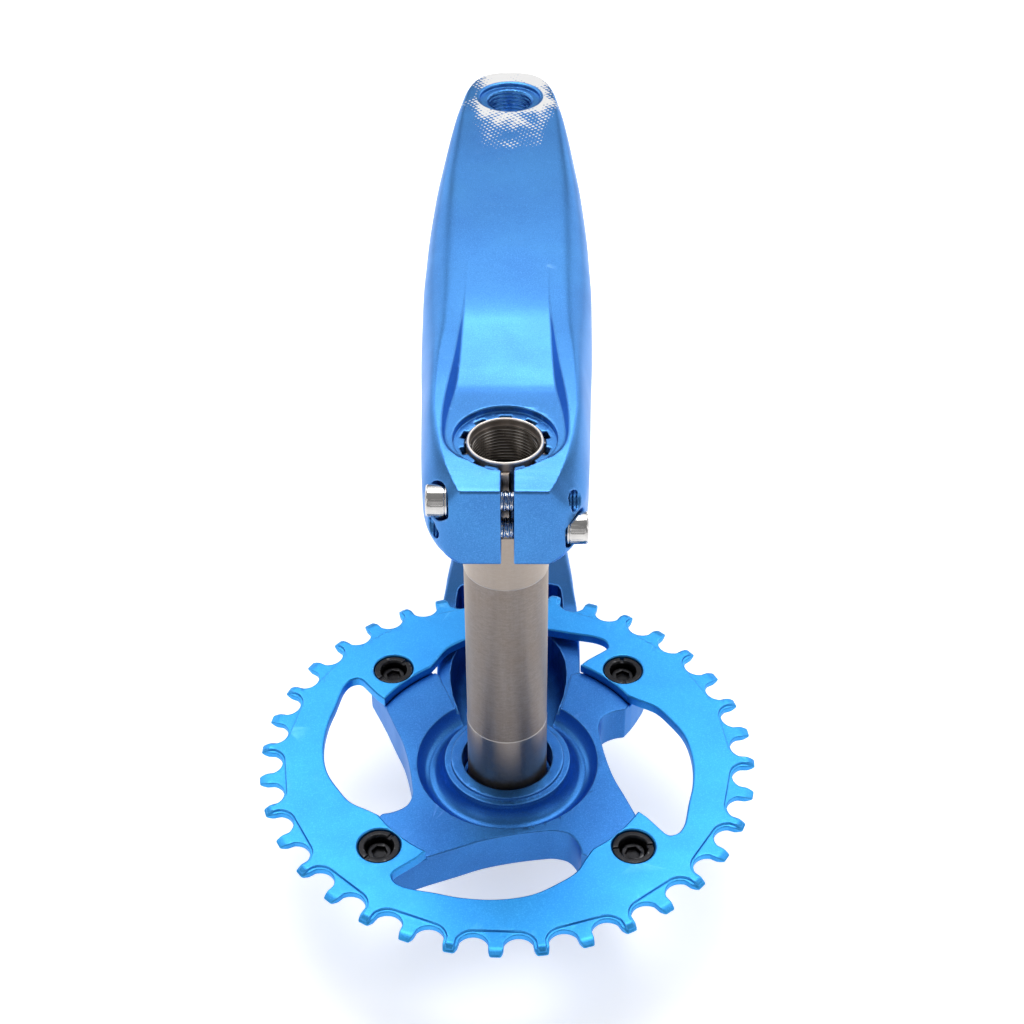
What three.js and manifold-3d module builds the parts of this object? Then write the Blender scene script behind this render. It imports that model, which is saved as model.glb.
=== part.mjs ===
// Two-piece bicycle crankset: a right crank arm with an integral four-arm spider
// and a pressed-in hollow spindle, a clamp-on left arm, a 36-tooth narrow-wide
// chainring and its fasteners.
//
// Units are millimetres. The origin lies on the spindle axis, midway between the
// two faces that close on the bottom bracket. +Z runs along the spindle towards
// the left arm, +Y from the spindle towards the pedal ends, and +X completes the
// right-handed frame.
import * as THREE from 'three';
import Module from 'manifold-3d';
import { mergeVertices } from 'three/addons/utils/BufferGeometryUtils.js';

const wasm = await Module();
wasm.setup();

// ---------------------------------------------------------------- dimensions
const CRANK_LENGTH = 170; // spindle axis to pedal axis
const BOSS_Z = 48; // half the distance between the two bearing faces
const Q_HALF = 87.4; // middle plane to a pedal's outer face
const TIP_Y = 188.8; // far end of each arm

const SPINDLE_R = 12; // 24 mm bearing journals
const SPINDLE_BORE_R = 9.1;
const SPINDLE_END_Z = 72.4;
const SPINDLE_INNER_Z = -70.5;
const SPLINE_START_Z = 48.3;
const SPLINE_TOP_Z = 69.6;
const SPLINE_TEETH = 10;

const RING_TOP_Z = -46.4;
const RING_T = 3.6;
const RING_TEETH = 36;
const CHAIN_PITCH = 12.7;
const SEAT_R = 4.5; // roller seat between two teeth
const RELIEF_R = 5.35; // edge of the thick web round each roller seat
const TIP_R = 75.2;
const TOOTH_PHASE = 8; // degrees from +X to a tooth centre
const NARROW_IN = 0.75; // how far a narrow tooth's face lies under the ring's
const BOLT_CIRCLE_R = 52; // 104 mm bolt circle
const RING_HOLE_R = 5.2;
const NUT_SEAT_R = 6.35;
const NUT_SEAT_DEPTH = 2;

const SPIDER_FACE_Z = -49.5;
const TAB_FACE_Z = -50.3;
const SPIDER_BACK_Z = -63;
const LOCATE_R = 44.9; // the step that centres the ring
const HEAD_SEAT_Z = -58.3;
const HEAD_SEAT_R = 7;

const PINCH_Y = -16.2;
const PINCH_Z = [64.7, 55.7]; // upper, lower
const PINCH_SEAT_X = 15.2;
const PINCH_HEAD_R = 4.4;
const PINCH_HEAD_L = 5.8;
const PINCH_SHANK_R = 2.85;
const PINCH_HOLE_R = 3.2;
const PINCH_END_X = 10;

const PEDAL_HOLE_R = 7.15;
const PEDAL_SEAT_R = 10;
const PEDAL_SEAT_DEPTH = 1.5;
const ARM_TIP_T = 13.4; // thickness at the pedal hole

// ------------------------------------------------------------------- helpers
function solid(geometry, matrix) {
  const g = geometry.clone();
  g.deleteAttribute('normal');
  g.deleteAttribute('uv');
  if (matrix) g.applyMatrix4(matrix);
  const m = mergeVertices(g, 1e-4);
  return new wasm.Manifold(
    new wasm.Mesh({
      numProp: 3,
      vertProperties: new Float32Array(m.attributes.position.array),
      triVerts: new Uint32Array(m.index.array),
    }),
  );
}

function geometryOf(manifold) {
  const mesh = manifold.getMesh();
  const g = new THREE.BufferGeometry();
  const n = mesh.vertProperties.length / mesh.numProp;
  const at = new Float32Array(n * 3);
  for (let i = 0; i < n; i++) {
    for (let k = 0; k < 3; k++) at[3 * i + k] = mesh.vertProperties[mesh.numProp * i + k];
  }
  g.setAttribute('position', new THREE.BufferAttribute(at, 3));
  g.setIndex(new THREE.BufferAttribute(new Uint32Array(mesh.triVerts), 1));
  g.computeVertexNormals();
  return g;
}

const shift = (x, y, z) => new THREE.Matrix4().makeTranslation(x, y, z);

// A round bar along Z, from z0 to z1.
function rod(r, z0, z1, x = 0, y = 0, n = 36) {
  const g = new THREE.CylinderGeometry(r, r, z1 - z0, n);
  g.rotateX(Math.PI / 2);
  return solid(g, shift(x, y, (z0 + z1) / 2));
}

// A round bar along X, from x0 to x1.
function rodX(r, x0, x1, y, z, n = 20) {
  const g = new THREE.CylinderGeometry(r, r, x1 - x0, n);
  g.rotateZ(Math.PI / 2);
  return solid(g, shift((x0 + x1) / 2, y, z));
}

function block(x0, x1, y0, y1, z0, z1) {
  return solid(new THREE.BoxGeometry(x1 - x0, y1 - y0, z1 - z0), shift((x0 + x1) / 2, (y0 + y1) / 2, (z0 + z1) / 2));
}

// A plate with the outline of points in the XY plane, from z0 to z1.
function plate(points, z0, z1) {
  const s = new THREE.Shape(points.map((p) => new THREE.Vector2(p[0], p[1])));
  return solid(new THREE.ExtrudeGeometry(s, { depth: z1 - z0, bevelEnabled: false }), shift(0, 0, z0));
}

// A solid of revolution about Z from a closed profile of [r, z].
function turned(profile, n = 36) {
  const g = new THREE.LatheGeometry(profile.map((p) => new THREE.Vector2(p[0], p[1])), n);
  g.rotateX(Math.PI / 2);
  return g;
}

function turnedSolid(profile, n = 36) {
  return solid(turned(profile, n));
}

function table(rows) {
  return (y) => {
    if (y <= rows[0][0]) return rows[0][1];
    for (let i = 1; i < rows.length; i++) {
      if (y <= rows[i][0]) {
        const [a, u] = rows[i - 1];
        const [b, v] = rows[i];
        return u + ((v - u) * (y - a)) / (b - a);
      }
    }
    return rows[rows.length - 1][1];
  };
}

const turn = (p, deg) => {
  const a = (deg * Math.PI) / 180;
  return [p[0] * Math.cos(a) - p[1] * Math.sin(a), p[0] * Math.sin(a) + p[1] * Math.cos(a)];
};

const arc = (cx, cy, r, a0, a1, n) =>
  Array.from({ length: n + 1 }, (_, i) => {
    const a = ((a0 + ((a1 - a0) * i) / n) * Math.PI) / 180;
    return [cx + r * Math.cos(a), cy + r * Math.sin(a)];
  });

function mesh(name, manifold, color, roughness, metalness) {
  const m = new THREE.Mesh(geometryOf(manifold), new THREE.MeshStandardMaterial({ color, roughness, metalness }));
  m.name = name;
  return m;
}

// ------------------------------------------------------------ the arm's body
// Outer height, flat half-width on top, shoulder drop, half-width and inboard
// height along the arm, for the left arm; the right arm mirrors them in Z.
const OUTER = table([[-22, 72.0], [-12, 73.4], [-5, 74.3], [5, 75.5], [17, 77.0], [24, 77.8], [40, 79.1], [55, 80.25], [72, 81.75], [90, 83.3], [130, 85.9], [155, 87.0], [160, Q_HALF], [TIP_Y, Q_HALF]]);
const FLAT = table([[-22, 11.4], [-17, 13.6], [-6, 16.6], [3, 18.0], [14, 18.8], [30, 18.2], [50, 16.2], [80, 15.2], [120, 15.2], [150, 14.4], [170, 13.6], [180, 11.6], [186, 7.8], [TIP_Y, 2.6]]);
const DROP = table([[-22, 2.2], [-12, 8.0], [0, 9.0], [20, 9.0], [60, 7.0], [100, 5.0], [140, 3.2], [170, 1.8], [TIP_Y, 1.4]]);
const HALF = table([[-22, 12.6], [-21.2, 14.9], [-19.6, 17.0], [-16.5, 19.0], [-12, 20.8], [-9, 21.6], [-5, 22.2], [5, 22.8], [28, 23.6], [41, 24.2], [61, 24.6], [72, 24.7], [83, 24.4], [95, 24.0], [107, 23.3], [119, 22.4], [132, 21.0], [146, 19.4], [160, 17.6], [170, 16.0], [176, 14.9], [181, 13.3], [185, 10.9], [187.5, 7.4], [TIP_Y, 3.4]]);
const INBOARD_L = table([[-22, BOSS_Z], [17, BOSS_Z], [24, 50.2], [70, 54.0], [110, 61.5], [150, 70.5], [158, Q_HALF - ARM_TIP_T], [TIP_Y, Q_HALF - ARM_TIP_T]]);
const INBOARD_R = table([[-22, 57], [16, 57], [26, 51.6], [72, 51.6], [80, 52.8], [110, 60.0], [150, 70.5], [158, Q_HALF - ARM_TIP_T], [TIP_Y, Q_HALF - ARM_TIP_T]]);
const NARROWING_R = table([[-22, 0.96], [20, 0.96], [52, 0.955], [85, 0.905], [120, 0.9], [165, 1], [TIP_Y, 1]]);
const STATIONS = [-22, -21.2, -19.6, -16.5, -12, -5, 5, 17, 24, 40, 55, 72, 88, 104, 119, 132, 146, 158, 160, 167, 174, 180, 184, 186.5, 188, TIP_Y];

// One arm as a stretched block: s runs across, t along, q from the inboard
// face to the outer one.
function armBody(inboard, side, narrowing) {
  const rows = STATIONS.length - 1;
  const g = new THREE.BoxGeometry(2, 1, 1, 8, rows, 3);
  const at = g.attributes.position;
  for (let i = 0; i < at.count; i++) {
    const s = at.getX(i);
    const t = Math.round((at.getY(i) + 0.5) * rows);
    const q = at.getZ(i) + 0.5;
    const y = STATIONS[t];
    const k = narrowing ? narrowing(y) : 1;
    const half = HALF(y) * k;
    const flat = Math.min(FLAT(y) * k, half - 0.5);
    const outer = OUTER(y);
    const drop = DROP(y);
    const low = inboard(y);
    const m = Math.abs(s);
    const sign = Math.sign(s);
    let x;
    let z;
    if (q > 0.99) {
      if (m < 0.51) {
        x = s * 2 * flat;
        z = outer;
      } else if (m < 0.8) {
        x = sign * (flat + (half - flat) * 0.62);
        z = outer - drop * 0.36;
      } else {
        x = sign * half;
        z = outer - drop;
      }
    } else {
      const edge = q < 0.01 ? half - 1.4 : q < 0.5 ? half - 0.2 : half;
      x = s * edge;
      z = q < 0.01 ? low : q < 0.5 ? low + 1.4 : low + 1.4 + (outer - drop - low - 1.4) * 0.5;
    }
    at.setXYZ(i, x, y, side * z);
  }
  if (side < 0) {
    const idx = g.index;
    for (let i = 0; i < idx.count; i += 3) {
      const a = idx.getX(i);
      idx.setX(i, idx.getX(i + 1));
      idx.setX(i + 1, a);
    }
  }
  return solid(g);
}

function pedalHole(side) {
  const z0 = side > 0 ? Q_HALF - PEDAL_SEAT_DEPTH : -Q_HALF - 5;
  const z1 = side > 0 ? Q_HALF + 5 : -Q_HALF + PEDAL_SEAT_DEPTH;
  return rod(PEDAL_HOLE_R, side > 0 ? 60 : -95, side > 0 ? 95 : -60, 0, CRANK_LENGTH, 36).add(
    rod(PEDAL_SEAT_R, z0, z1, 0, CRANK_LENGTH, 36),
  );
}

// --------------------------------------------------------------- left arm
// Ten-spline outline: grow widens it all round, so the bore clears the spindle.
function splineOutline(grow) {
  const points = [];
  const step = 360 / SPLINE_TEETH;
  for (let i = 0; i < SPLINE_TEETH; i++) {
    const c = 90 + i * step;
    const root = 10.55 + grow;
    const tip = 11.7 + grow;
    const h = (((1.25 + grow) / 11.2) * 180) / Math.PI;
    points.push(...arc(0, 0, root, c - step / 2, c - h, 1));
    points.push(...arc(0, 0, tip, c - h, c + h, 2));
    points.push(turn([root, 0], c + h));
  }
  return points;
}

// The sunk floor of the arm's outer face: flat round the spindle's recess, then
// sloping up the arm until it meets the outer surface, between drafted walls.
// Each row is y, the floor's half-width and its height.
const FLOOR = [[-12.5, 0.6, 73.2], [-10.2, 9, 73.2], [-8.4, 12.2, 73.2], [-6, 14.2, 73.25], [-3.2, 15.4, 73.3], [0, 15.9, 73.35], [4, 15.85, 73.4], [8.6, 15.5, 73.5], [14.5, 14.7, 73.6], [21, 13.7, 73.85], [25, 13.3, 74.45], [30, 13.0, 75.45], [38, 12.7, 77.0], [46, 12.4, 78.3], [52, 12.2, 79.3], [60, 12.1, 80.8]];
const WALL_RISE = 1.9; // rise over run of the walls
function sunkFloor() {
  const rows = FLOOR.length - 1;
  const g = new THREE.BoxGeometry(2, 1, 1, 2, rows, 1);
  const at = g.attributes.position;
  const high = 10;
  for (let i = 0; i < at.count; i++) {
    const [y, half, z] = FLOOR[Math.round((at.getY(i) + 0.5) * rows)];
    const up = at.getZ(i) > 0;
    at.setXYZ(i, at.getX(i) * (up ? half + high / WALL_RISE : half), y, up ? z + high : z);
  }
  return solid(g);
}

// Lightening pockets in the inboard side of an arm, given one side's outline.
function pocket(side, z0, z1) {
  return plate([...side, ...side.slice().reverse().map((p) => [-p[0], p[1]])], z0, z1);
}

const POCKET_LEFT = [[16.5, 22], [19.4, 34], [20.4, 52], [20.6, 70], [20.0, 84], [18.4, 92], [14.6, 97]];
const POCKET_FRONT = [[12, 16.9], [13.6, 18.4], [15.6, 23.5], [17.5, 30], [18.5, 36.5], [18.7, 41], [18.2, 46.5], [16.6, 52], [14.2, 56.6], [10.5, 60.6], [5.5, 63]];
const POCKET_REAR = [[14.4, 69], [16.8, 70], [18.0, 72.4], [17.9, 78], [17.5, 83.6], [16.6, 86], [14.4, 87]];

function buildLeftArm() {
  let arm = armBody(INBOARD_L, 1);
  arm = arm.subtract(sunkFloor());
  arm = arm.subtract(plate(splineOutline(0.35), 40, 90));
  arm = arm.subtract(rod(12.35, 40, 49.6)); // clears the journal's end
  arm = arm.subtract(rod(13.85, 71.5, 95));
  arm = arm.subtract(block(-1, 2.4, -40, -9, 40, 95));
  PINCH_Z.forEach((z, i) => {
    const s = i === 0 ? -1 : 1;
    arm = arm.subtract(rodX(PINCH_HOLE_R, -40, 40, PINCH_Y, z));
    arm = arm.subtract(rodX(PINCH_HEAD_R + 0.6, s < 0 ? -40 : PINCH_SEAT_X, s < 0 ? -PINCH_SEAT_X : 40, PINCH_Y, z));
  });
  arm = arm.subtract(pocket(POCKET_LEFT, 40, 71.2));
  return arm.subtract(pedalHole(1));
}

// -------------------------------------------------------------- right arm
const WINDOW = [[-38.6, 22.7], [-35.4, 14.6], [-32.3, 6.9], [-30.0, -2.2], [-28.7, -10.2], [-28.4, -14.2], [-29.7, -18.3], [-33.4, -20.9], [-37.9, -22.0]];
function spiderOutline() {
  // one arm of the spider, then the window that follows it anticlockwise
  const b = BOLT_CIRCLE_R / Math.SQRT2;
  const tab = [[-39.2, -24.8], [-41.4, -28.6], [-43.4, -32.6], ...arc(-b, -b, 7.6, 165, 285, 8), [-28.0, -40.9]];
  const quarter = [...tab, ...WINDOW.map((p) => turn(p, 90)).slice(0, -1)];
  const all = [];
  for (let i = 0; i < 4; i++) quarter.forEach((p) => all.push(turn(p, 90 * i)));
  return all;
}

function buildRightArm() {
  const outline = spiderOutline();
  let arm = armBody(INBOARD_R, -1, NARROWING_R);
  // rounded heel instead of the square clamp end
  arm = arm.subtract(
    plate([[-40, -40], [40, -40], [40, 2], [22.3, 2], ...arc(0, 2, 22.3, 0, -180, 20), [-40, 2]], -90, -40),
  );
  let spider = plate(outline, SPIDER_BACK_Z, TAB_FACE_Z);
  spider = spider.add(plate(outline, SPIDER_BACK_Z, SPIDER_FACE_Z).intersect(rod(LOCATE_R, -80, -40, 0, 0, 64)));
  // the arm's root lies a little below the spider's face beside the pocket
  const wedge = plate([[-25.6, 46], [-23, 39.4], [-17, 23.4], [-12, 10], [12, 10], [17, 23.4], [20.5, 39.1], [22.6, 46]], -80, -40);
  spider = spider.subtract(wedge.subtract(rod(27, -90, -30)));
  arm = arm.add(spider);
  arm = arm.add(rod(19.35, -60, -48.75)).add(rod(17.2, -60, -BOSS_Z));
  // dished ring round the boss
  arm = arm.subtract(
    turnedSolid([[19.35, -40], [19.35, -51.8], [20.2, -53.4], [21.6, -54.3], [23.3, -54.6], [25.1, -54.0], [26.5, -52.6], [27.4, -50.8], [27.7, -49.4], [27.7, -40], [19.35, -40]], 48),
  );
  // the front pocket opens into the dish
  arm = arm.subtract(pocket(POCKET_FRONT, -67.5, -40).subtract(rod(19.35, -95, -30)));
  arm = arm.subtract(pocket(POCKET_REAR, -67, -40));
  // bores
  arm = arm.subtract(rod(13.7, -56, -40)).subtract(rod(SPINDLE_R + 0.3, -90, -50));
  arm = arm.subtract(rod(15, -95, -71.3));
  for (let i = 0; i < 4; i++) {
    const [x, y] = turn([BOLT_CIRCLE_R, 0], 45 + 90 * i);
    arm = arm.subtract(rod(5.2, -70, -45, x, y, 18)).subtract(rod(HEAD_SEAT_R, -70, HEAD_SEAT_Z, x, y, 20));
  }
  return arm.subtract(pedalHole(-1));
}

// ---------------------------------------------------------------- spindle
function buildSpindle() {
  const b = SPINDLE_BORE_R;
  const body = turnedSolid([[b + 0.9, SPINDLE_INNER_Z], [SPINDLE_R - 0.5, SPINDLE_INNER_Z], [SPINDLE_R, SPINDLE_INNER_Z + 0.5], [SPINDLE_R, -30], [SPINDLE_R - 0.12, -29.7], [SPINDLE_R - 0.12, 29.7], [SPINDLE_R, 30], [SPINDLE_R, SPLINE_START_Z], [10.3, SPLINE_START_Z + 1], [10.3, SPINDLE_END_Z - 0.4], [9.9, SPINDLE_END_Z], [9.5, SPINDLE_END_Z], [9.1, SPINDLE_END_Z - 2], [8.8, SPINDLE_END_Z - 12.5], [b, SPINDLE_END_Z - 13], [b, SPINDLE_INNER_Z + 0.9], [b + 0.9, SPINDLE_INNER_Z]], 36);
  const spline = plate(splineOutline(0), SPLINE_START_Z - 0.5, SPLINE_TOP_Z).subtract(rod(9.6, 40, 80));
  return body.add(spline);
}

// -------------------------------------------------------------- chainring
const PITCH_R = CHAIN_PITCH / (2 * Math.sin(Math.PI / RING_TEETH));

// The roller seat's centre after tooth i, and the direction from it to the axis.
const STEP = 360 / RING_TEETH;
const seatAngle = (i) => TOOTH_PHASE + STEP * (i + 0.5);

// Half of a roller seat: from its bottom to its end on one side, at radius r.
function seatHalf(i, r, side, reach, n) {
  const [cx, cy] = turn([PITCH_R, 0], seatAngle(i));
  return arc(cx, cy, r, seatAngle(i) + 180, seatAngle(i) + 180 - side * reach, n);
}

// Both sides of a tooth above its roller seats, given half-widths in millimetres.
function crown(i, widths) {
  const a = TOOTH_PHASE + STEP * i;
  const up = widths.map(([r, h]) => turn([r, -h], a));
  const down = widths.slice().reverse().map(([r, h]) => turn([r, h], a));
  return [...up, ...down];
}

// The thin web: every tooth at its true outline.
function toothOutline() {
  const out = [];
  for (let i = 0; i < RING_TEETH; i++) {
    out.push(...crown(i, [[73.5, 1.95], [TIP_R, 1.55]]));
    out.push(...seatHalf(i, SEAT_R, -1, 62, 2).reverse());
    out.push(...seatHalf(i, SEAT_R, 1, 62, 2).slice(1));
  }
  return out;
}

// The thick web: wide teeth only, with a straight edge behind each narrow tooth.
function webOutline() {
  const out = [];
  for (let i = 1; i < RING_TEETH; i += 2) {
    out.push(...seatHalf(i - 1, RELIEF_R, 1, 70, 3));
    out.push(...crown(i, [[74.3, 1.05]]));
    out.push(...seatHalf(i, RELIEF_R, -1, 70, 3).reverse());
  }
  return out;
}

const RING_INNER = [[-37.9, -24.4], ...arc(0, 0, 45.2, 213.5, 239.3, 7), [-24.2, -40.4], [-31.6, -46.2], [-32.4, -47.6], [-31.6, -50.0], [-28.75, -51.9], [-20, -53.9], [-12.5, -55.6], [-2.5, -56.2], [7.5, -54.4], [15, -50.2], [20, -46.25], [23.1, -40.8]];

// The inner contour goes tab arc, narrow slot end, wide sweep, for each quarter.
function ringInner() {
  const quarter = RING_INNER.slice(1, -1);
  const all = [];
  for (let i = 0; i < 4; i++) quarter.forEach((p) => all.push(turn(p, 90 * i)));
  return all;
}

function ringPlate(outline, z0, z1) {
  const s = new THREE.Shape(outline.map((p) => new THREE.Vector2(p[0], p[1])));
  s.holes.push(new THREE.Path(ringInner().reverse().map((p) => new THREE.Vector2(p[0], p[1]))));
  return solid(new THREE.ExtrudeGeometry(s, { depth: z1 - z0, bevelEnabled: false }), shift(0, 0, z0));
}

function buildRing() {
  const z1 = RING_TOP_Z;
  const z0 = RING_TOP_Z - RING_T;
  let ring = ringPlate(webOutline(), z0, z1).add(ringPlate(toothOutline(), z0 + NARROW_IN, z1 - NARROW_IN));
  for (let i = 0; i < 4; i++) {
    const [x, y] = turn([BOLT_CIRCLE_R, 0], 45 + 90 * i);
    ring = ring.subtract(rod(RING_HOLE_R, z0 - 2, z1 + 2, x, y, 18)).subtract(rod(NUT_SEAT_R, z1 - NUT_SEAT_DEPTH, z1 + 2, x, y, 20));
  }
  return ring;
}

// -------------------------------------------------------------- fasteners
function buildNut(x, y) {
  // slotted flange inboard, sleeve through the ring and the spider
  const top = RING_TOP_Z - 0.5;
  const seat = RING_TOP_Z - NUT_SEAT_DEPTH + 0.3;
  const g = turned([[6.05, seat], [6.05, top - 0.2], [5.8, top], [4.3, top], [4.0, top - 0.6], [4.0, -57.6], [4.9, -57.6], [4.9, seat], [6.05, seat]], 18);
  g.translate(x, y, 0);
  const slot = block(x - 8, x + 8, y - 0.7, y + 0.7, top - 0.6, top + 1);
  return solid(g).subtract(slot);
}

function buildRingBolt(x, y) {
  const head = rod(6.4, -60.7, -58.6, x, y, 20);
  const shank = rod(3.65, -59, -49.2, x, y, 16);
  const hex = new THREE.CylinderGeometry(2.9, 2.9, 3.2, 6);
  hex.rotateX(Math.PI / 2);
  const inner = new THREE.CylinderGeometry(2.3, 2.3, 2.4, 6);
  inner.rotateX(Math.PI / 2);
  return head.add(shank).subtract(solid(hex, shift(x, y, -60))).subtract(solid(inner, shift(x, y, -49.4)));
}

function buildPinchBolt(sign, z) {
  // sign gives the side of the head
  const x = (a) => sign * a;
  const span = (r, a, b, n) => rodX(r, Math.min(x(a), x(b)), Math.max(x(a), x(b)), PINCH_Y, z, n);
  const head = span(PINCH_HEAD_R, PINCH_SEAT_X + 0.3, PINCH_SEAT_X + 0.3 + PINCH_HEAD_L, 24);
  const shank = span(PINCH_SHANK_R, -PINCH_END_X, PINCH_SEAT_X + 1, 16);
  const hex = new THREE.CylinderGeometry(2.9, 2.9, 6, 6);
  hex.rotateZ(Math.PI / 2);
  return head.add(shank).subtract(solid(hex, shift(x(PINCH_SEAT_X + 0.3 + PINCH_HEAD_L), PINCH_Y, z)));
}

// ---------------------------------------------------------------- assembly
const BLUE_ARM = 0x2f7fd0;
const BLUE_RING = 0x2d9bea;
const STEEL = 0x8d857d;
const CHROME = 0xc8c6c4;
const BLACK = 0x17171a;

const crankset = new THREE.Group();
const driveSide = new THREE.Group();
const leftSide = new THREE.Group();
crankset.add(driveSide, leftSide);

driveSide.add(mesh('right_crank_arm', buildRightArm(), BLUE_ARM, 0.38, 0.85));
driveSide.add(mesh('spindle', buildSpindle(), STEEL, 0.34, 1));
driveSide.add(mesh('chainring', buildRing(), BLUE_RING, 0.4, 0.85));
for (let i = 0; i < 4; i++) {
  const [x, y] = turn([BOLT_CIRCLE_R, 0], 45 + 90 * i);
  driveSide.add(mesh(`chainring_nut_${i + 1}`, buildNut(x, y), BLACK, 0.3, 0.9));
  driveSide.add(mesh(`chainring_bolt_${i + 1}`, buildRingBolt(x, y), BLACK, 0.3, 0.9));
}
leftSide.add(mesh('left_crank_arm', buildLeftArm(), BLUE_ARM, 0.35, 0.85));
leftSide.add(mesh('pinch_bolt_upper', buildPinchBolt(-1, PINCH_Z[0]), CHROME, 0.22, 1));
leftSide.add(mesh('pinch_bolt_lower', buildPinchBolt(1, PINCH_Z[1]), CHROME, 0.22, 1));

export default crankset;
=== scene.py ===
import math

import bpy
import numpy as np
from mathutils import Matrix, Vector


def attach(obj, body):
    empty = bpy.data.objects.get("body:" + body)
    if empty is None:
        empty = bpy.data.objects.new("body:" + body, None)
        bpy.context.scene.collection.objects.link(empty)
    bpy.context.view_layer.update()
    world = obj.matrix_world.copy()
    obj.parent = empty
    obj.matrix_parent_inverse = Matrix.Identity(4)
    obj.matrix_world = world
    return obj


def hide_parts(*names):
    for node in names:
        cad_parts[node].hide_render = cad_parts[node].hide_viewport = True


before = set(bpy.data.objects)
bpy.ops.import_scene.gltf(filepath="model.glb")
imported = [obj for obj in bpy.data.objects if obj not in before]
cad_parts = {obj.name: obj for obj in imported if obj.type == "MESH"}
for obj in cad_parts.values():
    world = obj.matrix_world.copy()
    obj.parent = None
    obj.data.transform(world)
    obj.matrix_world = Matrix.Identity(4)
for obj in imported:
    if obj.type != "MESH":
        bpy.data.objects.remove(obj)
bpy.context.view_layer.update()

MM = 0.001
H_ARM = 0.34
H_RING = 0.27
H_SMALL = 0.15
F = np.float32


# ------------------------------------------------------------- field helpers
def smin(a, b, k):
    h = np.maximum(k - np.abs(a - b), 0) / k
    return np.minimum(a, b) - h * h * k * 0.25


def smax(a, b, k):
    return -smin(-a, -b, k)


def carve(a, b, k):
    """a with b taken away, the new edge eased by k."""
    return -smin(-a, b, k)


def table(rows, step=0.1):
    """A smooth curve through rows of (y, value), flat past both ends."""
    xs = np.array([r[0] for r in rows], float)
    ys = np.array([r[1] for r in rows], float)
    h = np.diff(xs)
    d = np.diff(ys) / h
    m = np.zeros(len(xs))
    for i in range(1, len(xs) - 1):
        if d[i - 1] * d[i] > 0:
            w1, w2 = 2 * h[i] + h[i - 1], h[i] + 2 * h[i - 1]
            m[i] = (w1 + w2) / (w1 / d[i - 1] + w2 / d[i])
    m[0], m[-1] = d[0], d[-1]
    gx = np.arange(xs[0], xs[-1] + step, step)
    i = np.clip(np.searchsorted(xs, gx, side="right") - 1, 0, len(xs) - 2)
    t = np.clip((gx - xs[i]) / h[i], 0, 1)
    gy = (
        (2 * t**3 - 3 * t**2 + 1) * ys[i]
        + (t**3 - 2 * t**2 + t) * h[i] * m[i]
        + (-2 * t**3 + 3 * t**2) * ys[i + 1]
        + (t**3 - t**2) * h[i] * m[i + 1]
    )
    return lambda y: np.interp(y, gx, gy).astype(F)


def rotated(p, deg):
    a = math.radians(deg)
    return (
        p[0] * math.cos(a) - p[1] * math.sin(a),
        p[0] * math.sin(a) + p[1] * math.cos(a),
    )


def arc(cx, cy, r, a0, a1, n):
    return [
        (
            cx + r * math.cos(math.radians(a0 + (a1 - a0) * i / n)),
            cy + r * math.sin(math.radians(a0 + (a1 - a0) * i / n)),
        )
        for i in range(n + 1)
    ]


def spline(points, per=6, closed=True):
    """Centripetal Catmull-Rom curve through the points."""
    p = [np.array(q, float) for q in points]
    n = len(p)
    out = []
    spans = n if closed else n - 1
    for i in range(spans):
        if closed:
            p0, p1, p2, p3 = p[i - 1], p[i], p[(i + 1) % n], p[(i + 2) % n]
        else:
            p1, p2 = p[i], p[i + 1]
            p0 = p[i - 1] if i > 0 else 2 * p1 - p2
            p3 = p[i + 2] if i + 2 < n else 2 * p2 - p1
        t0 = 0.0
        t1 = t0 + max(np.linalg.norm(p1 - p0), 1e-6) ** 0.5
        t2 = t1 + max(np.linalg.norm(p2 - p1), 1e-6) ** 0.5
        t3 = t2 + max(np.linalg.norm(p3 - p2), 1e-6) ** 0.5
        for j in range(per):
            t = t1 + (t2 - t1) * j / per
            a1 = (t1 - t) / (t1 - t0) * p0 + (t - t0) / (t1 - t0) * p1
            a2 = (t2 - t) / (t2 - t1) * p1 + (t - t1) / (t2 - t1) * p2
            a3 = (t3 - t) / (t3 - t2) * p2 + (t - t2) / (t3 - t2) * p3
            b1 = (t2 - t) / (t2 - t0) * a1 + (t - t0) / (t2 - t0) * a2
            b2 = (t3 - t) / (t3 - t1) * a2 + (t - t1) / (t3 - t1) * a3
            c = (t2 - t) / (t2 - t1) * b1 + (t - t1) / (t2 - t1) * b2
            out.append(tuple(c))
    if not closed:
        out.append(tuple(p[-1]))
    return out


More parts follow.
